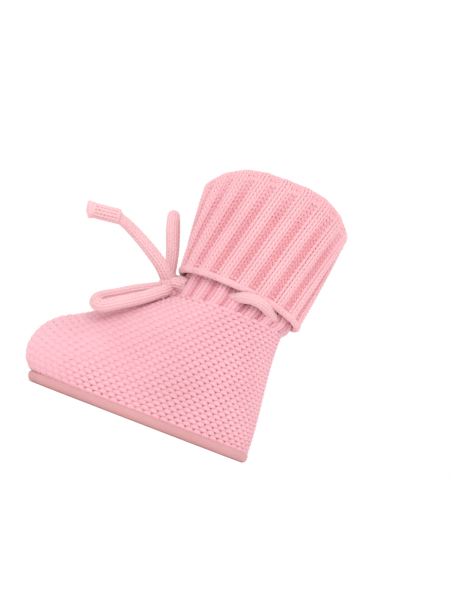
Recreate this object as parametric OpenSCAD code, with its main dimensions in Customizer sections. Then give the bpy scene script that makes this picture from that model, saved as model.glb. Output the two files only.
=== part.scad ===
// Knitted baby bootie: padded sole, garter-stitch foot, rib ankle, turned-down rib cuff and a
// knitted tie threaded through the ankle and tied in a bow. Toe towards -Y, sole on Z = 0.

/* [Sole] */
// Length of the flat underside of the sole
sole_len = 87.6; // [84:0.2:90]
// Greatest width of the sole, welt included
sole_w = 44; // [40:0.5:46]
// Thickness of the sole pad
sole_t = 2.6; // [2:0.1:3.4]
// Width of the smooth welt round the sole
welt_w = 3.6; // [3:0.1:4.2]
// Height of the smooth welt round the sole
welt_h = 4.2; // [3.8:0.1:4.6]
// How much the welt flares forwards under the toe
toe_flare = 0.3; // [0:0.1:0.6]

/* [Foot] */
// Height at which the garter stitch stops and the rib starts
instep_h = 49.6; // [47:0.2:51]
// Thickness of the garter-stitch wall
foot_wall = 3; // [2.4:0.1:3.4]
// How far the sides of the foot bulge past the sole
side_bulge = 2.2; // [0.5:0.1:3]

/* [Ankle] */
// Front of the ankle
ankle_front = -5.6; // [-6.2:0.1:-4.8]
// Back of the ankle
ankle_back = 39; // [38:0.1:40]
// Half width of the ankle
ankle_half_w = 19; // [18:0.1:19.5]
// Thickness of the rib wall
rib_wall = 2.4; // [2:0.1:2.5]

/* [Cuff] */
// Height of the crest of the fold at the sides
crest_side_h = 106; // [103:0.1:107]
// How much lower the crest is at the front and back
crest_dip = 9; // [5:0.1:10]
// Height of the cuff's lower edge at the front
rim_front_h = 60.4; // [59.8:0.1:61.5]
// How much lower the cuff's lower edge is at the back
rim_drop = 4.9; // [3:0.1:5.2]
// Thickness of the turned-down layer
cuff_wall = 2.6; // [2.2:0.1:2.8]
// Room between the turned-down layer and the leg inside it
layer_gap = 0.8; // [0.4:0.1:1]

/* [Tie] */
// Diameter of the knitted tie in the bow
bow_d = 4.4; // [4:0.1:4.5]
// Diameter of the tie where it is drawn through the ankle
tie_d = 3.9; // [3.4:0.1:4.1]
// Radius of the bow's knot
knot_r = 4.1; // [3.8:0.1:4.1]

/* [Hidden] */

pink = [0.96, 0.68, 0.73];
pale_pink = [0.98, 0.76, 0.80];
sole_pink = [0.90, 0.68, 0.67];

around = 64;       // steps round the foot and the leg
foot_rows = 14;    // steps up the foot
leg_rows = 8;      // steps up the leg and the cuff
cord_sides = 8;
step_t = 0.002;    // small step for a surface direction
step_a = 0.5;

sole_back = 42.8;                        // heel end of the flat underside
sole_front = sole_back - sole_len;       // toe end of the flat underside
sole_mid = -4;                           // widest place of the sole
sole_square = 0.78;                      // 1 is an ellipse, less is squarer

// Toe cap and vamp down the middle of the foot, as [y, z]
toe_cap = [[-45.6, welt_h], [-53.6, 9.5], [-50.6, 24.5], [-38.0, 29.5]];
cap_share = 0.44;  // share of the front line that the toe cap takes
front_pace = 0.8;  // under 1, the rows are wider apart on the toe than on the vamp
heel_line = [42.4, 42.2, 38.5, ankle_back];
ridge_power = 2.4; // roundness of the vamp: lower is wider

// The turned-down cuff, lower edge then upper edge
cuff_front = [-7.4, -10.4];
cuff_back = [44.6, 50.2];
cuff_mid = [18.0, 20.5];
cuff_half_w = [18.6, 15.6];
cuff_square = 0.88;
fold_r = (2 * cuff_wall + layer_gap) / 2;
leg_inset = cuff_wall + layer_gap;

knot = [0, -8, 53];

// Routes of the tie. The held part runs in and out of the ankle; the far half mirrors the near.
held_half = [
    [2.4, -5.0, 53.2], [4.4, -2.0, 53.4], [6.6, 1.6, 53.9], [9.0, 6.2, 54.4],
    [11.3, 12.4, 54.8], [14.5, 16.6, 55.3], [17.8, 19.2, 56.0], [19.1, 22.3, 56.5],
    [18.6, 25.4, 56.5], [16.3, 28.4, 56.0], [12.6, 31.0, 55.0], [8.6, 33.6, 54.0],
    [4.6, 36.0, 53.2]];
loop_near_route = [
    [2.2, -11.8, 50.4], [4.2, -15.4, 48.2], [6.6, -20.6, 44.8], [9.0, -25.0, 41.4],
    [11.6, -28.6, 38.8], [14.2, -30.4, 36.6], [16.6, -29.8, 34.8], [17.5, -27.0, 34.9],
    [16.4, -22.8, 37.8], [14.0, -18.2, 41.2], [11.0, -14.0, 44.8], [8.4, -11.0, 47.8],
    [6.4, -9.1, 49.6]];
loop_far_route = [
    [-2.2, -10.4, 57.8], [-2.9, -11.8, 63.8], [-3.4, -13.9, 69.5], [-4.6, -16.2, 75.4],
    [-8.2, -17.9, 81.2], [-13.2, -17.6, 81.0], [-16.2, -15.6, 76.0], [-15.4, -13.4, 69.4],
    [-12.6, -12.0, 63.6], [-9.2, -11.2, 59.4], [-6.6, -10.6, 55.9]];
tail_near_route = [
    [2.7, -11.2, 56.1], [4.5, -14.2, 58.7], [7.0, -19.0, 61.6], [10.0, -24.8, 64.5],
    [12.4, -30.4, 66.9], [13.8, -35.0, 68.3]];
tail_far_route = [
    [-4.0, -11.8, 51.2], [-7.6, -14.0, 50.4], [-12.8, -16.8, 48.4], [-18.4, -19.2, 44.8],
    [-22.6, -20.8, 39.4], [-24.4, -21.6, 33.0]];
end_near = [[14.0, -36.4, 68.3], [14.9, -40.2, 67.6], [15.7, -43.8, 67.0]];
end_far = [[-24.7, -21.8, 31.6], [-25.1, -22.2, 28.0], [-25.4, -22.6, 24.6]];
end_r = [2.9, 3.0, 2.9];

function signed_pow(x, p) = sign(x) * pow(abs(x), p);
function mix(a, b, t) = a + (b - a) * t;
function bezier(p, t) =
    pow(1 - t, 3) * p[0] + 3 * pow(1 - t, 2) * t * p[1] + 3 * (1 - t) * t * t * p[2]
    + pow(t, 3) * p[3];
function unit(v) = v / norm(v);

// A closed outline through front, back and both sides; angle 0 is the toe, 90 the +X side
function outline(a, front, back, mid, half_w, square) =
    [half_w * signed_pow(sin(a), square),
     mid - (cos(a) > 0 ? mid - front : back - mid) * signed_pow(cos(a), square)];

// The foot: t runs from the welt to the ankle, a runs round
function front_line(t) =
    let (s = pow(t, front_pace))
    s < cap_share ? bezier(toe_cap, s / cap_share)
                  : mix(toe_cap[3], [ankle_front, instep_h], (s - cap_share) / (1 - cap_share));
function ridge(a) = pow(max(0, cos(a)), ridge_power);
function foot_half_w(t) =
    bezier([sole_w / 2 - 0.2, sole_w / 2 + side_bulge, sole_w / 2 - 0.2, ankle_half_w], t);
function foot_point(t, a) =
    let (f = front_line(t), side_z = mix(welt_h, instep_h, t),
         xy = outline(a, f[0], bezier(heel_line, t), mix(sole_mid, 17, t), foot_half_w(t),
                      mix(sole_square, 1, t)))
    [xy[0], xy[1], side_z + (f[1] - side_z) * ridge(a)];
function foot_out(t, a) =
    let (t0 = max(0, min(1 - step_t, t)))
    unit(cross(foot_point(t0, a + step_a) - foot_point(t0, a - step_a),
               foot_point(t0 + step_t, a) - foot_point(t0, a)));
function foot_inside(t, a) =
    let (p = foot_point(t, a), q = p - foot_wall * foot_out(t, a))
    t == 0 || t == 1 ? [q[0], q[1], p[2]] : q;

// The ankle and the leg: u runs up, inset moves inwards from the outer surface
function rim_z(a) = rim_front_h - rim_drop * pow((1 - cos(a)) / 2, 2.5);
function crest_z(a) = crest_side_h - crest_dip * pow(abs(cos(a)), 3) - fold_r;
function cuff_point(u, a, inset) =
    let (xy = outline(a, mix(cuff_front[0], cuff_front[1], u) + inset,
                      mix(cuff_back[0], cuff_back[1], u) - inset,
                      mix(cuff_mid[0], cuff_mid[1], u),
                      mix(cuff_half_w[0], cuff_half_w[1], u) - inset, cuff_square))
    [xy[0], xy[1], mix(rim_z(a), crest_z(a), u)];
function ankle_point(u, a, inset) =
    let (low = outline(a, ankle_front + inset, ankle_back - inset, 17, ankle_half_w - inset, 1),
         top = cuff_point(0, a, leg_inset + inset),
         swell = 1.2 * sin(180 * u) * max(0, -cos(a)))
    [mix(low[0], top[0], u), mix(low[1], top[1], u) + swell, mix(instep_h, top[2], u)];

// A closed solid from rings that follow each other round its cross-section
module ring_solid(rings) {
    m = len(rings);
    n = len(rings[0]);
    polyhedron(
        points = [for (r = rings) each r],
        faces = [for (i = [0:m - 1], j = [0:n - 1])
                 let (k = (i + 1) % m, l = (j + 1) % n,
                      p = i * n + j, q = i * n + l, r = k * n + l, s = k * n + j)
                 each [[p, r, q], [p, s, r]]],
        convexity = 6);
}

function turn(j) = 360 * j / around;

// Rings for a wall between two surfaces: up the outside, down the inside
function foot_rings() = concat(
    [for (i = [0:foot_rows]) [for (j = [0:around - 1]) foot_point(i / foot_rows, turn(j))]],
    [for (i = [foot_rows:-1:0]) [for (j = [0:around - 1]) foot_inside(i / foot_rows, turn(j))]]);
function ankle_rings(rows) = concat(
    [for (i = [0:rows]) [for (j = [0:around - 1]) ankle_point(i / rows, turn(j), 0)]],
    [for (i = [rows:-1:0]) [for (j = [0:around - 1]) ankle_point(i / rows, turn(j), rib_wall)]]);
function layer_rings(outer, inner) = concat(
    [for (i = [0:leg_rows]) [for (j = [0:around - 1]) cuff_point(i / leg_rows, turn(j), outer)]],
    [for (i = [leg_rows:-1:0])
        [for (j = [0:around - 1]) cuff_point(i / leg_rows, turn(j), inner)]]);

// A swept tube: each ring stands square to the route, and turns no more than it must
function directions(route) = [for (i = [0:len(route) - 1])
    unit(route[min(i + 1, len(route) - 1)] - route[max(i - 1, 0)])];
function carried(dirs, i, side) =
    i == 0 ? [side] :
    let (before = carried(dirs, i - 1, side), last = before[i - 1])
    concat(before, [unit(last - dirs[i] * (last * dirs[i]))]);
module tube(route, d) {
    n = len(route);
    dirs = directions(route);
    start = unit(cross(dirs[0], abs(dirs[0][2]) < 0.8 ? [0, 0, 1] : [1, 0, 0]));
    sides = carried(dirs, n - 1, start);
    polyhedron(
        points = [for (i = [0:n - 1], k = [0:cord_sides - 1])
                  let (a = 360 * k / cord_sides, other = cross(dirs[i], sides[i]))
                  route[i] + d / 2 * (cos(a) * sides[i] + sin(a) * other)],
        faces = concat(
            [[for (k = [0:cord_sides - 1]) k]],
            [[for (k = [cord_sides - 1:-1:0]) (n - 1) * cord_sides + k]],
            [for (i = [0:n - 2], k = [0:cord_sides - 1])
             let (l = (k + 1) % cord_sides, p = i * cord_sides + k, q = i * cord_sides + l)
             each [[p, p + cord_sides, q + cord_sides], [p, q + cord_sides, q]]]),
        convexity = 8);
}

function flipped(route) = [for (i = [len(route) - 1:-1:0]) [-route[i][0], route[i][1], route[i][2]]];

module sole() {
    color(sole_pink)
    linear_extrude(height = sole_t)
        polygon([for (j = [0:around - 1])
                 outline(turn(j), sole_front + welt_w, sole_back - welt_w, sole_mid,
                         sole_w / 2 - welt_w, sole_square)]);
}

// Cross-section of the welt as [distance out from the pad, height]
module sole_welt() {
    section = [[0, 0], [welt_w - 1.4, 0], [welt_w - 0.5, 0.5], [welt_w, 1.5],
               [welt_w, 2.9], [welt_w - 0.5, 3.8], [welt_w - 1.4, welt_h], [0, welt_h]];
    color(sole_pink)
    ring_solid([for (s = section) [for (j = [0:around - 1])
        let (forward = s[0] * (1 + toe_flare * s[1] / welt_h),
             xy = outline(turn(j), sole_front + welt_w - forward, sole_back - welt_w + s[0],
                          sole_mid, sole_w / 2 - welt_w + s[0], sole_square))
        [xy[0], xy[1], s[1]]]]);
}

module foot_upper() { color(pink) ring_solid(foot_rings()); }

module ankle_rib() { color(pink) ring_solid(ankle_rings(4)); }

module leg_lining() { color(pink) ring_solid(layer_rings(leg_inset, leg_inset + rib_wall)); }

module cuff() { color(pale_pink) ring_solid(layer_rings(0, cuff_wall)); }

// Half a ring over the top of both layers
module cuff_fold() {
    bends = 6;
    small_r = layer_gap / 2;
    width = cuff_wall + small_r;
    color(pale_pink)
    ring_solid(concat(
        [for (i = [0:bends]) [for (j = [0:around - 1])
            let (b = 180 * i / bends)
            cuff_point(1, turn(j), width - width * cos(b)) + [0, 0, width * sin(b)]]],
        [for (i = [bends:-1:0]) [for (j = [0:around - 1])
            let (b = 180 * i / bends)
            cuff_point(1, turn(j), width - small_r * cos(b)) + [0, 0, small_r * sin(b)]]]));
}

// The cast-on edge rolls slightly under the cuff
module cuff_edge() {
    roll = 1.2;
    corners = 8;
    color(pale_pink)
    ring_solid([for (i = [0:corners - 1]) [for (j = [0:around - 1])
        let (b = 360 * i / corners + 22.5)
        cuff_point(0, turn(j), cuff_wall / 2 - roll * cos(b)) + [0, 0, roll * (sin(b) - 0.93)]]]);
}

module ankle_tie() {
    color(pale_pink)
    tube(concat(held_half, [[0, 36.8, 52.9]], flipped(held_half)), tie_d);
}

// Where both ends of the tie cross and are drawn tight
module bow_knot() {
    color(pale_pink) translate(knot) sphere(r = knot_r, $fn = 32);
}

module bow_loop_near() { color(pale_pink) tube(loop_near_route, bow_d); }

module bow_loop_far() { color(pale_pink) tube(loop_far_route, bow_d); }

module tie_tail_near() { color(pale_pink) tube(tail_near_route, bow_d); }

module tie_tail_far() { color(pale_pink) tube(tail_far_route, bow_d); }

module end_knot(places) {
    color(pale_pink)
    hull() for (i = [0:2]) translate(places[i]) sphere(r = end_r[i], $fn = 16);
}

module end_knot_near() { end_knot(end_near); }

module end_knot_far() { end_knot(end_far); }

sole();
sole_welt();
foot_upper();
ankle_rib();
leg_lining();
cuff();
cuff_fold();
cuff_edge();
ankle_tie();
bow_knot();
bow_loop_near();
bow_loop_far();
tie_tail_near();
tie_tail_far();
end_knot_near();
end_knot_far();
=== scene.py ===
"""Knitted baby bootie: garter-stitch foot, rib ankle and turned-down rib cuff, felt sole, knitted tie.

Every knitted surface is made stitch by stitch, as yarn that loops along its rows. Lengths in the
shape functions are in millimetres, as in the CAD model, and become metres when a mesh is built.
"""
import math

import bpy
import numpy as np
from mathutils import Matrix, Vector


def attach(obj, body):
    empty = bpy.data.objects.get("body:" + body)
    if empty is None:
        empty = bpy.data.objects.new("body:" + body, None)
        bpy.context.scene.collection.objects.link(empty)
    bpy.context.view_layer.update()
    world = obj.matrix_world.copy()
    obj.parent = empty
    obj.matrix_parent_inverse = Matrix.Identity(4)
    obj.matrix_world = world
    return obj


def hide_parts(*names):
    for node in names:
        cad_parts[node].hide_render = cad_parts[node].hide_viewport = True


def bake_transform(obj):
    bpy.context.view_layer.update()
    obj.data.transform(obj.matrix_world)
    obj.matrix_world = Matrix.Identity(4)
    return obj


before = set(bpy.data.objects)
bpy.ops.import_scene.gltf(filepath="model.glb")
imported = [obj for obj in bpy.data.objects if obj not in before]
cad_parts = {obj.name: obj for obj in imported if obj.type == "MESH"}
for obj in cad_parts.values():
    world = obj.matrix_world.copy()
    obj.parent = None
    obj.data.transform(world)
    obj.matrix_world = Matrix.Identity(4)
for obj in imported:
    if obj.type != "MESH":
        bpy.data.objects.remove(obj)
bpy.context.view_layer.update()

MM = 0.001
ROOT = "bootie"
rng = np.random.default_rng(11)

# ---------------------------------------------------------------- camera
SENSOR = 36.0
VIEW_FROM = Vector((0.330, 0.0135, 0.003))
VIEW_AT = Vector((0.0, 0.0135, 0.0557))
VIEW_ROLL = math.radians(21.1)
MM_PER_PIXEL = 0.388           # at VIEW_AT
IMAGE_HEIGHT = 600
CLIP = (0.01, 20)


def make_camera():
    """The photograph's viewpoint. The bootie lies tilted in it, so the camera is rolled."""
    ahead = (VIEW_AT - VIEW_FROM).normalized()
    level = Vector((0, 1, 0))
    upright = level.cross(ahead)
    right = math.cos(VIEW_ROLL) * level + math.sin(VIEW_ROLL) * upright
    up = math.cos(VIEW_ROLL) * upright - math.sin(VIEW_ROLL) * level
    data = bpy.data.cameras.new("camera")
    data.sensor_width = SENSOR
    distance = (VIEW_AT - VIEW_FROM).length / MM
    data.lens = SENSOR * distance / (MM_PER_PIXEL * IMAGE_HEIGHT)
    data.clip_start, data.clip_end = CLIP
    camera = bpy.data.objects.new("camera", data)
    bpy.context.collection.objects.link(camera)
    turn = Matrix((right, up, -ahead)).transposed().to_4x4()
    camera.matrix_world = Matrix.Translation(VIEW_FROM) @ turn
    bpy.context.scene.camera = camera


make_camera()

# ---------------------------------------------------------------- materials


class Nodes:
    """Short names for building a node tree."""

    def __init__(self, material):
        self.tree = material.node_tree
        self.bsdf = self.tree.nodes["Principled BSDF"]

    def add(self, kind, inputs=(), **settings):
        node = self.tree.nodes.new(kind)
        for key, value in settings.items():
            setattr(node, key, value)
        for key, value in dict(inputs).items():
            self.put(node, key, value)
        return node

    def put(self, node, key, value):
        socket = node.inputs[key]
        if isinstance(value, bpy.types.NodeSocket):
            self.tree.links.new(value, socket)
        else:
            socket.default_value = value

    def math(self, operation, a, b=0.0):
        return self.add("ShaderNodeMath", {0: a, 1: b}, operation=operation).outputs[0]

    def noise(self, scale, detail=2.0, roughness=0.5, vector=None):
        node = self.add("ShaderNodeTexNoise", {"Scale": scale, "Detail": detail, "Roughness": roughness})
        if vector is not None:
            self.put(node, "Vector", vector)
        return node.outputs[0]

    def ramp(self, factor, stops):
        node = self.add("ShaderNodeValToRGB", {"Fac": factor})
        cells = node.color_ramp.elements
        for cell, (place, colour) in zip(cells, stops):
            cell.position, cell.color = place, (*colour, 1)
        for place, colour in stops[2:]:
            cells.new(place).color = (*colour, 1)
        return node.outputs[0]


def new_material(name, **values):
    material = bpy.data.materials.new(name)
    material.use_nodes = True
    nodes = Nodes(material)
    for key, value in values.items():
        nodes.bsdf.inputs[key.replace("_", " ")].default_value = value
    return material, nodes


PAINTED_SHADE_TINT = (0.95, 0.72, 0.75)    # painted shade: yarn is coloured darker where it lies in a groove between its neighbours
PLIES, PLY_PITCH = 3, 1.6           # plies round a yarn, and mm between them along it
DRIFT_SCALE, FLECK_SCALE, FIBRE_SCALE = 55, 900, 2600
DRIFT_SHARE = 0.65                  # the rest of the colour's change is flecks
WOOL_RELIEF, FELT_RELIEF = 0.00022, 0.0002


def wool(name, pale, deep, ply=0.35):
    """Soft plied wool: colour drifts along the knitting, painted shade darkens yarn that lies in grooves, and plies
    and fine fibres are in relief.
    """
    material, n = new_material(
        name, Roughness=0.85, Sheen_Weight=0.35, Sheen_Roughness=0.45,
        Sheen_Tint=(1.0, 0.86, 0.88, 1), Specular_IOR_Level=0.25)
    place = n.add("ShaderNodeTexCoord").outputs["Object"]
    drift = n.noise(DRIFT_SCALE, 2, 0.5, place)
    fleck = n.noise(FLECK_SCALE, 3, 0.6, place)
    blend = n.math("ADD", n.math("MULTIPLY", drift, DRIFT_SHARE),
                   n.math("MULTIPLY", fleck, 1 - DRIFT_SHARE))
    # painted shade: the colour is multiplied by the tint where the mesh marks yarn as lying in a groove
    shade_amount = n.add("ShaderNodeAttribute", attribute_name="sunk").outputs["Fac"]
    shade = n.add("ShaderNodeMix", {"Factor": shade_amount}, data_type="RGBA", blend_type="MULTIPLY")
    n.put(shade, "A", n.ramp(blend, [(0.32, deep), (0.66, pale)]))
    n.put(shade, "B", (*PAINTED_SHADE_TINT, 1))
    n.put(n.bsdf, "Base Color", shade.outputs["Result"])
    yarn = n.add("ShaderNodeSeparateXYZ", {0: n.add("ShaderNodeUVMap", uv_map="yarn").outputs[0]})
    twist = n.math("ADD", n.math("MULTIPLY", yarn.outputs[0], 2 * math.pi * PLIES),
                   n.math("MULTIPLY", yarn.outputs[1], 2 * math.pi / PLY_PITCH))
    plies = n.math("ABSOLUTE", n.math("SINE", n.math("MULTIPLY", twist, 0.5)))
    fibres = n.noise(FIBRE_SCALE, 4, 0.7, place)
    height = n.math("ADD", n.math("MULTIPLY", plies, ply), n.math("MULTIPLY", fibres, 0.6))
    bump = n.add("ShaderNodeBump", {"Height": height, "Strength": 0.5, "Distance": WOOL_RELIEF})
    n.put(n.bsdf, "Normal", bump.outputs[0])
    return material


def felt(name, pale, deep, grain=1500.0):
    """Matted wool with a fine grain, for the sole and the hidden inner layers."""
    material, n = new_material(
        name, Roughness=0.92, Sheen_Weight=0.3, Sheen_Roughness=0.5,
        Sheen_Tint=(1.0, 0.88, 0.86, 1), Specular_IOR_Level=0.2)
    place = n.add("ShaderNodeTexCoord").outputs["Object"]
    blend = n.math("ADD", n.math("MULTIPLY", n.noise(70, 3, 0.6, place), 0.6),
                   n.math("MULTIPLY", n.noise(grain, 4, 0.7, place), 0.4))
    n.put(n.bsdf, "Base Color", n.ramp(blend, [(0.3, deep), (0.7, pale)]))
    bump = n.add("ShaderNodeBump", {"Height": n.noise(grain, 5, 0.75, place), "Strength": 0.45,
                                    "Distance": FELT_RELIEF})
    n.put(n.bsdf, "Normal", bump.outputs[0])
    return material


PINK = wool("pink_wool", (0.86, 0.49, 0.55), (0.80, 0.42, 0.48))
PALE_PINK = wool("pale_pink_wool", (0.88, 0.53, 0.57), (0.83, 0.46, 0.50))
TIE_PINK = wool("tie_pink_wool", (0.87, 0.56, 0.59), (0.82, 0.49, 0.52), ply=0.25)
SOLE_FELT = felt("sole_felt", (0.68, 0.37, 0.38), (0.60, 0.31, 0.32))
INNER_PINK = felt("inner_wool", (0.85, 0.40, 0.46), (0.79, 0.34, 0.40), 1100.0)

# ---------------------------------------------------------------- mesh building


def unit(v):
    return v / np.maximum(np.linalg.norm(v, axis=-1, keepdims=True), 1e-12)


CAP = ((0.7, 0.04), (0.5, 0.7))     # height and width of a yarn's rounded end, as shares of its radius


class Yarn:
    """Collects tubes and sheets of quads for one mesh."""

    def __init__(self):
        self.points, self.quads, self.uvs, self.sunk, self.count = [], [], [], [], 0

    def grid(self, rings, closed_rings, flip=False, sunk=0.0):
        """rings is (rows, sides, 3); joins each row to the next. The last argument is painted shade: 1 where a row
        lies deep in a groove and is coloured darkest.
        """
        m, n, _ = rings.shape
        i = np.arange(m if closed_rings else m - 1)[:, None]
        k = np.arange(n)[None, :]
        i2, k2 = (i + 1) % m, (k + 1) % n
        quads = np.stack([i * n + k, i * n + k2, i2 * n + k2, i2 * n + k], -1)
        span = np.r_[0, np.cumsum(np.linalg.norm(np.diff(rings.mean(1), axis=0), axis=1))]
        span = np.r_[span, span[-1] + span[1]]
        here, ahead = span[i] + 0 * k, span[i + 1] + 0 * k
        along = np.stack([here, here, ahead, ahead], -1)
        round_ = np.stack([k + 0 * i, k + 1 + 0 * i, k + 1 + 0 * i, k + 0 * i], -1) / n
        uv = np.stack([round_, along], -1)
        quads, uv = quads.reshape(-1, 4), uv.reshape(-1, 4, 2)
        if flip:
            quads, uv = quads[:, ::-1], uv[:, ::-1]
        self.points.append(rings.reshape(-1, 3))
        self.sunk.append(np.repeat(np.broadcast_to(np.asarray(sunk, float), (m,)), n))
        self.quads.append(quads + self.count)
        self.uvs.append(uv)
        self.count += m * n
        return self

    def tube(self, path, side, radius, sides=8, closed=False, capped=True, sunk=0.0, flat=1.0):
        """A yarn along path; side is a direction at each point, and flat its thickness that way."""
        if closed:
            ahead = unit(np.roll(path, -1, 0) - np.roll(path, 1, 0))
        else:
            ahead = unit(np.gradient(path, axis=0))
        across = unit(np.cross(ahead, side))
        out = np.cross(across, ahead)
        angle = 2 * np.pi * np.arange(sides) / sides
        radius = np.broadcast_to(np.asarray(radius, float), (len(path),))
        out = out * np.broadcast_to(np.asarray(flat, float), (len(path),))[:, None]
        rings = path[:, None] + radius[:, None, None] * (
            np.cos(angle)[None, :, None] * across[:, None] + np.sin(angle)[None, :, None] * out[:, None])
        if capped and not closed:
            def cap(ring, middle, way):
                return [middle + way * height + (ring - middle) * width for height, width in CAP]
            first = cap(rings[0], path[0], -ahead[0] * radius[0])
            last = cap(rings[-1], path[-1], ahead[-1] * radius[-1])
            rings = np.concatenate([first, rings, last[::-1]])
            sunk = np.mean(sunk)
        self.grid(rings, closed, sunk=sunk)

    def build(self, name, material, body=ROOT, replaces=(), slot=None):
        """Make the mesh. With no body, the piece is attached to nothing."""
        points = (np.concatenate(self.points) * MM).astype(np.float32)
        quads = np.concatenate(self.quads).astype(np.int32)
        mesh = bpy.data.meshes.new(name)
        mesh.vertices.add(len(points))
        mesh.vertices.foreach_set("co", points.ravel())
        mesh.loops.add(quads.size)
        mesh.loops.foreach_set("vertex_index", quads.ravel())
        mesh.polygons.add(len(quads))
        mesh.polygons.foreach_set("loop_start", np.arange(0, quads.size, 4, dtype=np.int32))
        mesh.polygons.foreach_set("use_smooth", np.full(len(quads), True))
        layer = mesh.uv_layers.new(name="yarn")
        layer.data.foreach_set("uv", np.concatenate(self.uvs).astype(np.float32).ravel())
        # how much painted shade each point gets, read by the wool material
        shade_amount = mesh.attributes.new("sunk", "FLOAT", "POINT")
        shade_amount.data.foreach_set("value", np.concatenate(self.sunk).astype(np.float32))
        mesh.update(calc_edges=True)
        mesh.validate()
        mesh.materials.append(material)
        piece = bpy.data.objects.new(name, mesh)
        bpy.context.collection.objects.link(piece)
        if body is not None:
            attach(piece, body)
        if replaces:
            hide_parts(*replaces)
        return piece


# ---------------------------------------------------------------- shapes, as in the CAD model
KNOT = np.array([0.0, -8.0, 53.0])
WELT_H = 4.2
INSTEP_H = 49.6
FOOT_WALL = 3.0
CUFF_WALL = 2.6
LAYER_GAP = 0.8
LEG_INSET = CUFF_WALL + LAYER_GAP
FOLD_R = (2 * CUFF_WALL + LAYER_GAP) / 2
SOLE_HALF_W = 22.0
SIDE_BULGE = 2.2
SOLE_BACK, SOLE_FRONT, SOLE_MID, SOLE_SQUARE = 42.8, -44.8, -4.0, 0.78
WELT_W, TOE_FLARE = 3.6, 0.3
TOE_CAP = np.array([[-45.6, WELT_H], [-53.6, 9.5], [-50.6, 24.5], [-38.0, 29.5]])
RIDGE_POWER = 2.4
CAP_SHARE, FRONT_PACE = 0.44, 0.8
ANKLE_FRONT, ANKLE_BACK, ANKLE_MID, ANKLE_HALF_W = -5.6, 39.0, 17.0, 19.0
ANKLE_SWELL = 1.2
FOOT_HALF_W = [SOLE_HALF_W - 0.2, SOLE_HALF_W + SIDE_BULGE, SOLE_HALF_W - 0.2, ANKLE_HALF_W]
HEEL_LINE = [42.4, 42.2, 38.5, ANKLE_BACK]
RIM_H, RIM_DROP, RIM_POWER = 60.4, 4.9, 2.5
CREST_H, CREST_DIP, CREST_POWER = 106.0, 9.0, 3
CUFF_FRONT, CUFF_BACK, CUFF_MID = (-7.4, -10.4), (44.6, 50.2), (18.0, 20.5)    # at rim and crest
CUFF_HALF_W, CUFF_SQUARE = (18.6, 15.6), 0.88


def mix(a, b, t):
    return a + (b - a) * t


def signed_pow(x, p):
    return np.sign(x) * np.abs(x) ** p


def bezier(p, t):
    p = np.asarray(p, float)
    weights = [(1 - t) ** 3, 3 * (1 - t) ** 2 * t, 3 * (1 - t) * t * t, t ** 3]
    if p.ndim == 1:
        return sum(w * q for w, q in zip(weights, p))
    return sum(w[..., None] * q for w, q in zip(weights, p))


def outline(a, front, back, mid, half_w, square):
    """Closed outline: angle 0 is the toe, a quarter turn the +X side."""
    c = np.cos(a)
    reach = np.where(c > 0, mid - front, back - mid)
    return half_w * signed_pow(np.sin(a), square), mid - reach * signed_pow(c, square)


def front_line(t):
    """The foot's front in profile, from the sole round the toe and up the vamp."""
    s = np.clip(t, 0, 1) ** FRONT_PACE
    cap = bezier(TOE_CAP, np.clip(s / CAP_SHARE, 0, 1))
    up = ((s - CAP_SHARE) / (1 - CAP_SHARE))[..., None]
    vamp = TOE_CAP[3] + (np.array([ANKLE_FRONT, INSTEP_H]) - TOE_CAP[3]) * up
    return np.where((s < CAP_SHARE)[..., None], cap, vamp)


def ridge(a):
    return np.maximum(0, np.cos(a)) ** RIDGE_POWER


def foot_point(t, a):
    t, a = np.broadcast_arrays(np.asarray(t, float), np.asarray(a, float))
    f = front_line(t)
    side_z = mix(WELT_H, INSTEP_H, t)
    x, y = outline(a, f[..., 0], bezier(HEEL_LINE, t), mix(SOLE_MID, ANKLE_MID, t),
                   bezier(FOOT_HALF_W, t), mix(SOLE_SQUARE, 1.0, t))
    return np.stack([x, y, side_z + (f[..., 1] - side_z) * ridge(a)], -1)


def rim_z(a):
    return RIM_H - RIM_DROP * ((1 - np.cos(a)) / 2) ** RIM_POWER


def crest_z(a):
    return CREST_H - CREST_DIP * np.abs(np.cos(a)) ** CREST_POWER - FOLD_R


def cuff_point(u, a, inset=0.0):
    u, a, inset = np.broadcast_arrays(np.asarray(u, float), np.asarray(a, float), np.asarray(inset, float))
    x, y = outline(a, mix(*CUFF_FRONT, u) + inset, mix(*CUFF_BACK, u) - inset, mix(*CUFF_MID, u),
                   mix(*CUFF_HALF_W, u) - inset, CUFF_SQUARE)
    return np.stack([x, y, mix(rim_z(a), crest_z(a), u)], -1)


def ankle_point(u, a, inset=0.0):
    u, a = np.broadcast_arrays(np.asarray(u, float), np.asarray(a, float))
    x, y = outline(a, ANKLE_FRONT + inset, ANKLE_BACK - inset, ANKLE_MID, ANKLE_HALF_W - inset, 1.0)
    top = cuff_point(np.zeros_like(u), a, LEG_INSET + inset)
    swell = ANKLE_SWELL * np.sin(np.pi * np.clip(u, 0, 1)) * np.maximum(0, -np.cos(a))
    return np.stack([mix(x, top[..., 0], u), mix(y, top[..., 1], u) + swell,
                     mix(INSTEP_H, top[..., 2], u)], -1)


def normals(surface, v, a):
    """Outward direction of a surface at level v and angle a."""
    dv, da = 0.004, 0.01      # small steps to either side
    across = surface(v, a + da) - surface(v, a - da)
    up = surface(v + dv, a) - surface(v - dv, a)
    return unit(np.cross(across, up))


# ---------------------------------------------------------------- knitting
STEPS = 16           # points along one stitch
ARC_SAMPLES = 1441   # for lengths round the leg or foot


def once_round(count):
    """Angles once round, the first not repeated."""
    return np.linspace(0, 2 * np.pi, count + 1)[:-1]


def raised(points, z):
    """The points with z added to their height."""
    return points + np.stack([0 * points[..., 0], 0 * points[..., 0], z + 0 * points[..., 0]], -1)


def around(surface, v):
    """Arc length and angle round the surface at level v, from the heel."""
    a = np.pi + np.linspace(0, 2 * np.pi, ARC_SAMPLES)
    p = surface(np.full_like(a, v), a)
    s = np.r_[0, np.cumsum(np.linalg.norm(np.diff(p, axis=0), axis=1))]
    return s, a


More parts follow.
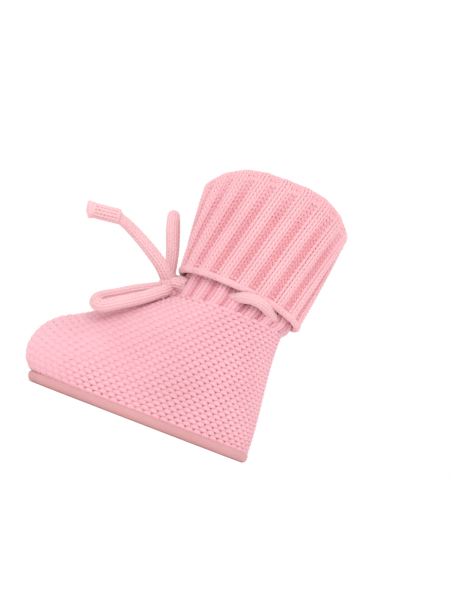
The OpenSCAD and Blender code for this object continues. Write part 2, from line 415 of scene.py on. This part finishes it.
def eased(values):
    """Averages over one stitch, round a closed row."""
    wrapped = np.r_[values[-STEPS:], values, values[:STEPS]]
    return np.convolve(wrapped, np.ones(STEPS) / STEPS, "same")[STEPS:-STEPS]


# Foot: garter stitch. Every row's bumps stand over the dips of the row below, like bricks
FOOT_ROWS = 30
FOOT_STITCH = 3.2
GARTER_ROW = 1.5       # usual distance between rows; over the toe they are wider apart
GARTER_DEPTH = 0.4
GARTER_ARCH = 0.38     # how far a bump arches, in rows
YARN_SHARE = 0.58      # yarn radius as a share of the distance between rows
YARN_LEAST, YARN_MOST = 0.5, 2.1
GARTER_JITTER = 0.1
GARTER_SIDES = 8
TOE_LOSS = {"depth": 0.75, "arch": 0.6, "flat": 0.4}     # what the bumps lose on top of the toe
TOE_GAIN = 0.25        # and how much wider their yarn is, in rows
TOE_EDGE, TOE_BLEND = 0.35, 0.45      # cosine of the angle where the toe's smooth zone begins, and its blend
VAMP_EDGE, VAMP_BLEND = 0.9, 0.3      # the same up the vamp, as shares of the foot's height
GARTER_SWAY, GARTER_SWELL = 0.05, 0.05
NARROWING_FROM = 0.55  # share of the way from heel to toe where stitches start to be lost
FOOT_PIECES = 6
FOOT_OUTER = 1.75      # how deep the plain backing lies under the knitting


def foot_place(v):
    """Stitches keep their width from the heel forwards, and the odd one is lost at the toe."""
    s, a = around(foot_point, v)
    half = s[-1] / 2
    count = int(round(s[-1] / FOOT_STITCH))
    spare = count / 2 - half / FOOT_STITCH
    t = np.clip((s / half - NARROWING_FROM) / (1 - NARROWING_FROM), 0, 1)
    near = s / FOOT_STITCH + spare * t * t * (3 - 2 * t)
    numbers = np.where(s <= half, near, count - near[::-1])
    return count, lambda q: np.interp(np.mod(q, count), numbers, a) + 2 * np.pi * np.floor(q / count)


def garter_ring(yarn, v, step, odd):
    """One row of garter stitch; over the toe the bumps flatten into smooth stripes."""
    count, place = foot_place(v)
    q = np.arange(count * STEPS) / STEPS
    phi = 2 * np.pi * (q + 0.5 * odd)
    size = 1 + eased(rng.normal(0, GARTER_JITTER, count)[np.floor(q + 0.5).astype(int) % count])
    a = place(q + GARTER_SWAY * np.sin(phi))
    apart = np.linalg.norm(foot_point(v + step / 2, a) - foot_point(v - step / 2, a), axis=-1)
    smooth = np.clip((np.cos(a) - TOE_EDGE) / TOE_BLEND, 0, 1) * np.clip((VAMP_EDGE - v) / VAMP_BLEND, 0, 1)
    depth = GARTER_DEPTH * (1 - TOE_LOSS["depth"] * smooth)
    radius = np.clip((YARN_SHARE + TOE_GAIN * smooth) * apart, YARN_LEAST, YARN_MOST)
    wave = np.cos(phi) - 0.25 * np.cos(2 * phi) - 0.75
    arch = GARTER_ARCH * (1 - TOE_LOSS["arch"] * smooth) * np.minimum(1, GARTER_ROW / apart)
    level = v + step * size * arch * wave
    base, out = foot_point(level, a), normals(foot_point, level, a)
    flat = 1 - TOE_LOSS["flat"] * smooth
    rise = depth * size * wave - radius * flat
    radius = radius * (1 + GARTER_SWELL * np.cos(phi))
    # painted shade: the recessed parts of each row are coloured darker, but not over the smooth toe
    yarn.tube(base + out * rise[:, None], out, radius, GARTER_SIDES, closed=True,
              sunk=np.clip(-0.45 * wave, 0, 1) * (1 - smooth), flat=flat)


def knit_foot():
    step = 1 / FOOT_ROWS
    for number, band in enumerate(np.array_split(np.arange(FOOT_ROWS + 1), FOOT_PIECES)):
        yarn = Yarn()
        for j in band:
            garter_ring(yarn, (j + 0.1) * step, step, j % 2)
        yarn.build(f"foot_garter_{number + 1}", PINK, slot="foot_knit")
    a = once_round(180)

    def layer(depth):
        return np.array([foot_point(v, a) - normals(foot_point, min(max(v, 0.01), 0.99), a) * depth
                         for v in np.linspace(0.0, 1.0, 31)])
    backing = Yarn().grid(np.concatenate([layer(FOOT_OUTER), layer(FOOT_WALL)[::-1]]), True)
    backing.build("foot_inner_layer", INNER_PINK, replaces=["foot_upper"], slot="foot_knit")


# Rib: two knit wales, two purl wales, eighteen times round
RIB_REPEATS = 18
RIB_STITCHES = 4 * RIB_REPEATS
KNIT_SHARE = 0.6     # share of a repeat's width that its two knit wales take
ANKLE_SHARE = 0.8    # the ankle is drawn in, so its purl wales nearly close up
WALE_EDGE = 0.45     # width of the change from knit to purl, in stitches
RIB_LOOP = 0.86      # half height of a stitch's loop, in rows
RIB_SWAY = 0.17      # how much the loop's head and foot widen, in stitches
RIB_JITTER = 0.03
RIB_SIDES = 6
RIB_R, RIB_DEPTH, RIB_GROOVE = 0.62, 0.42, 1.5
FULL_GROOVE = 1.5    # depth at which a groove's painted shade is darkest


def rib_width(q, share):
    """Distance round the leg of stitch q, in repeats: the purl wales draw together."""
    whole, part = np.divmod(q, 4)
    return whole + np.interp(part, [0, 2, 4], [0, share, 1])


def soft_step(x, width):
    t = np.clip(x / width * 0.5 + 0.5, 0, 1)
    return t * t * (3 - 2 * t)


def rib_wave(q):
    """1 on knit wales and 0 on purl wales."""
    part = np.mod(q, 4)
    return soft_step(part, WALE_EDGE) - soft_step(part - 2, WALE_EDGE) + soft_step(part - 4, WALE_EDGE)


def rib_place(surface, v, shift, share):
    """A function from stitch numbers to angles at level v."""
    s, a = around(surface, v)
    s = s / s[-1] * RIB_REPEATS

    def place(q):
        d = rib_width(q, share) + shift
        return np.interp(np.mod(d, RIB_REPEATS), s, a) + 2 * np.pi * np.floor(d / RIB_REPEATS)
    return place


def rib_lift(q, groove, share=KNIT_SHARE):
    """Ribs are round on top, and the purl wales lie in a groove between them."""
    centre = share / 2
    d = np.mod(rib_width(q, share) - centre + 0.5, 1) - 0.5
    flank = np.clip((np.abs(d) - 0.35 * centre) / (0.5 - 0.45 * centre), 0, 1)
    return -groove * flank * flank * (3 - 2 * flank)


def rib_rows(yarn, surface, rows, row_v, radius=RIB_R, groove=RIB_GROOVE, flat=lambda v: 1.0,
             twist=lambda v: 0.0, share=KNIT_SHARE):
    """Closed rows of rib at the levels in rows, row_v apart.

    flat scales the grooves and twist moves the ribs round, in repeats; both depend on the level.
    """
    q = np.arange(RIB_STITCHES * STEPS) / STEPS
    phi = 2 * np.pi * q
    index = np.floor(q + 0.5).astype(int) % RIB_STITCHES
    way = 1 - 2 * rib_wave(q)
    for v in rows:
        size = eased(1 + rng.normal(0, RIB_JITTER, RIB_STITCHES)[index])
        drop = eased(rng.normal(0, RIB_JITTER * 0.8, RIB_STITCHES)[index])
        a = rib_place(surface, v, twist(v), share)(q + RIB_SWAY * np.sin(2 * phi))
        level = v + row_v * (-RIB_LOOP * size * np.cos(phi) + drop)
        lift = rib_lift(q, groove * flat(v), share)
        rise = -(radius + RIB_DEPTH) + way * RIB_DEPTH * np.cos(2 * phi) + lift
        base, out = surface(level, a), normals(surface, level, a)
        # painted shade: yarn deep in the purl grooves is coloured darker
        yarn.tube(base + out * rise[:, None], out, radius, RIB_SIDES, closed=True,
                  sunk=np.clip(-lift / FULL_GROOVE, 0, 1))


CUFF_TWIST = 1.15     # repeats that the ribs drift back over the height of the cuff
FOLD_GROOVE = 0.15    # the ribs stretch nearly flat over the fold
CUFF_ROWS, FOLD_ROWS, ANKLE_ROWS = 25, 6, 8
CUFF_PIECE_ROWS = 9
ANKLE_R, ANKLE_GROOVE = 0.85, 1.4
HEM_R, HEM_STRANDS, HEM_STRAND_R = 1.1, 8, 0.42
HEM_SAMPLES, HEM_RIPPLE, HEM_GROOVE = 576, 0.1, 0.5
ANKLE_LAYER = (3.1, 2.7)      # depths of the plain layer behind the ankle's rib
LEG_RIM, LEG_FLANGE = 0.04, 2.9


def cuff_twist(v):
    return CUFF_TWIST * min(v, 1.0)


def leg_fabric(v, a):
    """The leg's shown face: 0 to 1 up the turned-down layer, 1 to 2 over the fold, 2 to 3 down the inside."""
    v, a = np.broadcast_arrays(np.asarray(v, float), np.asarray(a, float))
    up = cuff_point(np.clip(v, -0.2, 1), a)
    bend = np.clip(v - 1, 0, 1) * np.pi
    over = raised(cuff_point(np.ones_like(v), a, FOLD_R - FOLD_R * np.cos(bend)), FOLD_R * np.sin(bend))
    inside = cuff_point(1 - np.clip(v - 2, 0, 1), a, 2 * FOLD_R)
    return np.where((v <= 1)[..., None], up, np.where((v <= 2)[..., None], over, inside))


def cuff_groove(v):
    """The ribs are shallow at the cast-on edge and flatten again towards the fold."""
    return float(np.interp(v, [0.0, 0.08, 0.7, 1.0], [0.45, 1.0, 1.0, FOLD_GROOVE]))


def fold_groove(v):
    return FOLD_GROOVE


def leg_piece(name, rows, row_v, groove_at, replaces=()):
    yarn = Yarn()
    rib_rows(yarn, leg_fabric, rows, row_v, flat=groove_at, twist=cuff_twist)
    yarn.build(name, PALE_PINK, replaces=replaces, slot="cuff_knit")


def knit_leg():
    step = 1 / CUFF_ROWS
    levels = [(k + 0.5) * step for k in range(CUFF_ROWS)]
    for part, first in enumerate(range(0, CUFF_ROWS, CUFF_PIECE_ROWS)):
        leg_piece(f"cuff_rib_{part + 1}", levels[first:first + CUFF_PIECE_ROWS], step, cuff_groove)
    fold_step = 1 / FOLD_ROWS
    leg_piece("cuff_fold_rib", [1 + (k + 0.5) * fold_step for k in range(FOLD_ROWS)], fold_step, fold_groove,
              replaces=["cuff_fold"])
    for part, span in enumerate(np.array_split(np.arange(CUFF_ROWS), 2)):
        leg_piece(f"leg_inside_rib_{part + 1}", [2 + (k + 0.5) * step for k in span], step, fold_groove)


def wall(name, surface, inner, outer, levels, replaces, slot):
    """A plain closed layer between two insets of a surface."""
    a = once_round(144)
    up = np.array([surface(v, a, outer) for v in levels])
    down = np.array([surface(v, a, inner) for v in levels[::-1]])
    Yarn().grid(np.concatenate([up, down]), True).build(name, INNER_PINK, replaces=replaces, slot=slot)


def knit_ankle():
    """The rib round the ankle, and the plain layers behind ankle, leg and cuff."""
    step = 1 / ANKLE_ROWS
    yarn = Yarn()
    rib_rows(yarn, ankle_point, [(k + 0.3) * step for k in range(ANKLE_ROWS)], step, radius=ANKLE_R,
             groove=ANKLE_GROOVE, share=ANKLE_SHARE)
    yarn.build("ankle_rib_knit", PINK, slot="foot_knit")
    wall("ankle_inner_layer", ankle_point, *ANKLE_LAYER, np.linspace(0, 1, 7), ["ankle_rib"], "foot_knit")
    section = [(v, FOLD_R + 0.1) for v in np.linspace(0, 1, 9)]
    section += [(v, FOLD_R + 0.4) for v in np.linspace(1, LEG_RIM, 9)]
    section += [(LEG_RIM, LEG_INSET + LEG_FLANGE), (0.0, LEG_INSET + LEG_FLANGE)]      # the ankle's rib joins on here
    leg = Yarn().grid(np.array([cuff_point(v, once_round(144), inset) for v, inset in section]), True)
    leg.build("leg_inner_layer", INNER_PINK, replaces=["leg_lining"], slot="cuff_knit")
    wall("cuff_inner_layer", cuff_point, FOLD_R - 0.1, FOLD_R - 0.4, np.linspace(0, 1, 9), ["cuff"],
         "cuff_knit")


def hem():
    """The cast-on edge: smooth strands rolled under round the bottom of the cuff."""
    yarn = Yarn()
    a = once_round(HEM_SAMPLES)
    numbers = np.arange(RIB_STITCHES + 1)
    ribs = rib_lift(np.interp(np.linspace(0, RIB_REPEATS, a.size), numbers / 4, numbers), HEM_GROOVE)
    for k, turn in enumerate(np.linspace(-0.1, 1.1, HEM_STRANDS) * np.pi):
        ripple = HEM_RIPPLE * np.cos(RIB_STITCHES * a + np.pi * k)
        reach = HEM_R + ribs * max(0.0, math.cos(turn)) + ripple
        ring = cuff_point(np.zeros_like(a), a, CUFF_WALL / 2 - reach * math.cos(turn))
        ring = raised(ring, -HEM_R * math.sin(turn))
        yarn.tube(ring, np.array([0, 0, 1.0]) + 0 * ring, HEM_STRAND_R, 6, closed=True)
    corner = 2 * np.pi * np.arange(8) / 8
    core = [raised(cuff_point(0.0, angle, CUFF_WALL / 2 - HEM_R * np.cos(corner)), HEM_R * np.sin(corner))
            for angle in a[::4]]
    yarn.grid(np.array(core), True, flip=True)
    yarn.build("cuff_hem", PALE_PINK, replaces=["cuff_edge"], slot="cuff_knit")


# ---------------------------------------------------------------- sole
QUILT, QUILT_ROW = 0.22, 3.2     # the pad is sewn round in rows that stand out a little
PAD_LOW, PAD_HIGH, PAD_EDGE, PAD_REACH = 0.3, 2.6, 0.4, 18.2
WELT_SECTION = [                 # distance out from the inner outline, and height
    (-3.2, 0.25), (0.6, 0.0), (WELT_W - 1.5, 0.05), (WELT_W - 0.55, 0.45), (WELT_W - 0.08, 1.3),
    (WELT_W, 2.1), (WELT_W - 0.1, 2.9), (WELT_W - 0.6, 3.7), (WELT_W - 1.4, 4.1), (WELT_W - 2.2, 4.0),
    (0.2, 3.4), (-1.5, 2.9)]


def sole_ring(forward, out, z):
    """The sole's outline inside the welt, moved out by the given amounts, at height z."""
    a = once_round(240)
    x, y = outline(a, SOLE_FRONT + WELT_W - forward, SOLE_BACK - WELT_W + out, SOLE_MID,
                   SOLE_HALF_W - WELT_W + out, SOLE_SQUARE)
    return np.stack([x, y, np.full_like(a, z)], -1)


def felt_sole():
    band = [sole_ring(out * (1 + TOE_FLARE * z / WELT_H), out, z) for out, z in WELT_SECTION]
    Yarn().grid(np.array(band), True).build("sole_band", SOLE_FELT, replaces=["sole_welt"], slot="sole_knit")
    section = [(inset, PAD_LOW + QUILT * math.cos(2 * math.pi * inset / QUILT_ROW))
               for inset in np.arange(PAD_REACH, 0.5, -0.2)]
    section += [(PAD_EDGE, 0.35), (PAD_EDGE, 2.4), (2.0, PAD_HIGH), (PAD_REACH, PAD_HIGH)]
    pad = [sole_ring(-inset, -inset, z) for inset, z in section]
    Yarn().grid(np.array(pad), True).build("sole_pad", SOLE_FELT, replaces=["sole"], slot="sole_knit")


# ---------------------------------------------------------------- knitted tie
ROUTE_STEP = 0.15


def smooth_route(points):
    """A smooth line through the points, with evenly spaced samples."""
    p = np.asarray(points, float)
    p = np.vstack([2 * p[0] - p[1], p, 2 * p[-1] - p[-2]])
    out = []
    for i in range(1, len(p) - 2):
        t = np.linspace(0, 1, 24, endpoint=False)[:, None]
        a, b, c, d = p[i - 1:i + 3]
        bend, turn = 2 * a - 5 * b + 4 * c - d, 3 * b - a - 3 * c + d
        out.append(0.5 * (2 * b + (c - a) * t + bend * t ** 2 + turn * t ** 3))
    line = np.vstack(out + [p[-2:-1]])
    s = np.r_[0, np.cumsum(np.linalg.norm(np.diff(line, axis=0), axis=1))]
    even = np.linspace(0, s[-1], max(4, int(s[-1] / ROUTE_STEP)))
    return np.stack([np.interp(even, s, line[:, k]) for k in range(3)], -1), even


def carried_sides(ahead):
    """A side direction carried along a line with no more turning than it must."""
    side = np.cross(ahead[0], [0, 0, 1.0] if abs(ahead[0][2]) < 0.8 else [1.0, 0, 0])
    sides = [side / np.linalg.norm(side)]
    for d in ahead[1:]:
        last = sides[-1] - d * (sides[-1] @ d)
        sides.append(last / np.linalg.norm(last))
    return np.array(sides)


CORD_WALES = 6
CORD_ROW = 1.45
CORD_YARN_R, CORD_DEPTH = 0.56, 0.14     # the yarn, and how far its loops rise and dip
CORD_LOOP, CORD_SWAY = 0.92, 0.17        # half height of a loop in rows, and its widening in stitches
CORE_EVERY, CORE_SIDES = 6, 10


def knitted_cord(yarn, points, diameter):
    """A knitted cord along the points: yarn spirals round a core, one V per stitch.

    diameter is one number or a pair for its two ends.
    """
    line, s = smooth_route(points)
    ahead = unit(np.gradient(line, axis=0))
    side = carried_sides(ahead)
    other = np.cross(ahead, side)
    first, last = np.broadcast_to(diameter, 2)
    radius = np.interp(s, [0, s[-1]], [first, last]) / 2 - CORD_YARN_R - CORD_DEPTH
    total = int(s[-1] / CORD_ROW * CORD_WALES)
    q = np.arange(0, total * STEPS) / STEPS
    phi = 2 * np.pi * q
    along = np.clip((q / CORD_WALES) * CORD_ROW - CORD_LOOP * CORD_ROW * np.cos(phi), 0, s[-1])
    theta = 2 * np.pi * (q + CORD_SWAY * np.sin(2 * phi)) / CORD_WALES
    r = np.interp(along, s, radius) - CORD_DEPTH * np.cos(2 * phi)

    def at(values):
        return np.stack([np.interp(along, s, values[:, k]) for k in range(3)], -1)
    out = unit(np.cos(theta)[:, None] * at(side) + np.sin(theta)[:, None] * at(other))
    yarn.tube(at(line) + out * r[:, None], out, CORD_YARN_R, 6, capped=False)
    core = slice(None, None, CORE_EVERY)
    # painted shade: the core inside the cord is coloured half dark
    yarn.tube(line[core], side[core], radius[core] + 0.05, CORE_SIDES, sunk=0.5)
    return line


LOOP_NEAR = [
    (2.2, -11.8, 50.4), (4.2, -15.4, 48.2), (6.6, -20.6, 44.8), (9.0, -25.0, 41.4), (11.6, -28.6, 38.8),
    (14.2, -30.4, 36.6), (16.6, -29.8, 34.8), (17.5, -27.0, 34.9), (16.4, -22.8, 37.8), (14.0, -18.2, 41.2),
    (11.0, -14.0, 44.8), (8.4, -11.0, 47.8), (6.4, -9.1, 49.6)]
LOOP_FAR = [
    (-2.2, -10.4, 57.8), (-2.9, -11.8, 63.8), (-3.4, -13.9, 69.5), (-4.6, -16.2, 75.4), (-8.2, -17.9, 81.2),
    (-13.2, -17.6, 81.0), (-16.2, -15.6, 76.0), (-15.4, -13.4, 69.4), (-12.6, -12.0, 63.6),
    (-9.2, -11.2, 59.4), (-6.6, -10.6, 55.9)]
TAIL_NEAR = [
    (2.7, -11.2, 56.1), (4.5, -14.2, 58.7), (7.0, -19.0, 61.6), (10.0, -24.8, 64.5), (12.4, -30.4, 66.9),
    (13.8, -35.0, 68.3)]
TAIL_FAR = [
    (-4.0, -11.8, 51.2), (-7.6, -14.0, 50.4), (-12.8, -16.8, 48.4), (-18.4, -19.2, 44.8),
    (-22.6, -20.8, 39.4), (-24.4, -21.6, 33.0)]
HELD_HALF = [
    (2.4, -5.0, 53.2), (4.4, -2.0, 53.4), (6.6, 1.6, 53.9), (9.0, 6.2, 54.4), (11.3, 12.4, 54.8),
    (14.5, 16.6, 55.3), (17.8, 19.2, 56.0), (19.1, 22.3, 56.5), (18.6, 25.4, 56.5), (16.3, 28.4, 56.0),
    (12.6, 31.0, 55.0), (8.6, 33.6, 54.0), (4.6, 36.0, 53.2)]
END_NEAR = [(14.0, -36.4, 68.3), (14.9, -40.2, 67.6), (15.7, -43.8, 67.0)]
END_FAR = [(-24.7, -21.8, 31.6), (-25.1, -22.2, 28.0), (-25.4, -22.6, 24.6)]
HELD_BACK = (0, 36.8, 52.9)       # where the two halves of the part in the ankle meet
CORD_D = 4.4
LOOP_SHOWN_D = 5.0                # the yarn's fluff makes the tie look fuller,
TAIL_SHOWN_D = (5.8, 4.1)         # and the tails thin out towards their ends
ROOT_SHARE = 0.35                 # where a cord starts, as a share of the way to its first point
SLEEVE_D = 5.9
SLEEVE_ROLLS = ((0, -1.3, 1.9, 0.85), (2, 0.6, 2.3, 0.8))    # place, shift along, radius, yarn radius
LIP_SHIFT, LIP_R, LIP_YARN_R, PLUG_R = 1.7, (2.2, 2.4), 0.9, 2.1      # the sleeve's flared tip
TURN_D, DRAWN_D = 5.2, 4.6
KNOT_WRAP = [                     # the knot's strands, from its centre
    (-3.6, 3.4, 1.6), (-2.2, 0.6, 2.8), (0.2, -1.8, 2.4), (2.2, -2.2, 0.2), (2.6, -0.6, -2.2),
    (2.2, 2.4, -3.6)]
KNOT_UNDER = [
    (3.6, 4.2, 1.4), (3.4, 1.4, 1.2), (1.2, 0.2, 0.2), (-1.8, -0.6, -0.8), (-3.6, 1.6, -1.8),
    (-3.4, 4.0, -2.0)]
KNOT_DRAWN = [(-5.2, 6.0, 2.4), (-3.0, 3.4, 2.9), (0, 2.2, 3.0), (3.0, 3.4, 2.9), (5.2, 6.0, 2.4)]


def cord_piece(name, points, node, far_end, thick):
    """A loop or tail of the bow, from inside the knot outwards; a loop comes back to it."""
    yarn = Yarn()
    route = [tuple(KNOT + (np.asarray(points[0]) - KNOT) * ROOT_SHARE)] + list(points)
    if far_end == "object":
        route.append(tuple(KNOT + (np.asarray(points[-1]) - KNOT) * ROOT_SHARE))
    line = knitted_cord(yarn, route, thick)
    piece = yarn.build(name, TIE_PINK, body=None, replaces=[node], slot="tie_knit")
    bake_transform(piece)


def end_knot(name, places, body, node):
    """The end of the cord doubled back and sewn into a thick sleeve, with a flared tip."""
    yarn = Yarn()
    p0, p1, p2 = places = [np.asarray(p, float) for p in places]
    axis = unit(p2 - p0)
    side = unit(np.cross(axis, [0, 0, 1.0]))
    up = np.cross(side, axis)
    turn = once_round(48)
    knitted_cord(yarn, [p0 - axis * 1.6, p0 + axis * 1.5, p1, p2 + axis * 0.2], SLEEVE_D)
    for number, shift, radius, thick in SLEEVE_ROLLS:
        place = places[number] + axis * shift
        ring = np.array([place + side * radius * math.cos(x) + up * radius * math.sin(x) for x in turn])
        yarn.tube(ring, np.broadcast_to(axis, ring.shape), thick, 8, closed=True)
    lip = np.array([p2 + axis * LIP_SHIFT + side * LIP_R[0] * math.cos(x)
                    + (up + axis * 0.2) * LIP_R[1] * math.sin(x) for x in turn])
    yarn.tube(lip, np.broadcast_to(axis, lip.shape), LIP_YARN_R, 8, closed=True)
    plug = np.array([p2 + axis * shift for shift in (0.2, 1.0, LIP_SHIFT)])
    yarn.tube(plug, np.array([side] * 3), PLUG_R, 12)
    return yarn.build(name, TIE_PINK, body=body, replaces=[node], slot="tie_knit")


def tie():
    near_end = end_knot("tail_knot_near", END_NEAR, "tail_near", "end_knot_near")
    far_end = end_knot("tail_knot_far", END_FAR, "tail_far", "end_knot_far")
    cord_piece("bow_loop_near_cord", LOOP_NEAR, "bow_loop_near", "object", LOOP_SHOWN_D)
    cord_piece("bow_loop_far_cord", LOOP_FAR, "bow_loop_far", "object", LOOP_SHOWN_D)
    cord_piece("tail_near_cord", TAIL_NEAR, "tie_tail_near", "knot", TAIL_SHOWN_D)
    cord_piece("tail_far_cord", TAIL_FAR, "tie_tail_far", "knot", TAIL_SHOWN_D)
    held = Yarn()
    mirrored = [(-x, y, z) for x, y, z in HELD_HALF[::-1]]
    knitted_cord(held, HELD_HALF + [HELD_BACK] + mirrored, CORD_D)
    held.build("tie_through_ankle", TIE_PINK, replaces=["ankle_tie"], slot="tie_knit")
    turns = Yarn()
    for strand, thick in ((KNOT_WRAP, TURN_D), (KNOT_UNDER, TURN_D), (KNOT_DRAWN, DRAWN_D)):
        knitted_cord(turns, KNOT + np.array(strand), thick)
    turns.build("bow_knot_turns", TIE_PINK, replaces=["bow_knot"], slot="tie_knit")


tie()
knit_foot()
knit_leg()
knit_ankle()
hem()
felt_sole()

# ---------------------------------------------------------------- stage


FLOOR_R, FLOOR_SIDES = 4.0, 64


def make_stage():
    """A white floor and an even white surrounding."""
    material, n = new_material("white_floor", Roughness=0.9, Specular_IOR_Level=0.1)
    n.bsdf.inputs["Base Color"].default_value = (0.93, 0.925, 0.92, 1)
    n.bsdf.inputs["Emission Color"].default_value = (1, 1, 1, 1)
    n.bsdf.inputs["Emission Strength"].default_value = 0.12
    angles = [2 * math.pi * k / FLOOR_SIDES for k in range(FLOOR_SIDES)]
    points = [(0, 0, 0)] + [(FLOOR_R * math.cos(x), FLOOR_R * math.sin(x), 0) for x in angles]
    mesh = bpy.data.meshes.new("floor")
    mesh.from_pydata(points, [], [(0, 1 + k, 1 + (k + 1) % FLOOR_SIDES) for k in range(FLOOR_SIDES)])
    mesh.materials.append(material)
    floor = bpy.data.objects.new("floor", mesh)
    bpy.context.collection.objects.link(floor)
    world = bpy.data.worlds.new("studio")
    world.use_nodes = True
    background = world.node_tree.nodes["Background"]
    background.inputs["Color"].default_value = (1, 1, 1, 1)
    background.inputs["Strength"].default_value = 1.0
    bpy.context.scene.world = world


def area_light(name, place, aim, size, power):
    data = bpy.data.lights.new(name, "AREA")
    data.shape, data.size, data.energy = "DISK", size, power
    light = bpy.data.objects.new(name, data)
    light.location = place
    light.rotation_mode = "QUATERNION"
    light.rotation_quaternion = (Vector(aim) - Vector(place)).to_track_quat("-Z", "Y")
    bpy.context.collection.objects.link(light)


make_stage()
area_light("key", (0.9, 0.05, 0.75), (0, 0, 0.05), 0.7, 3.0)
bpy.context.scene.view_settings.view_transform = "Standard"
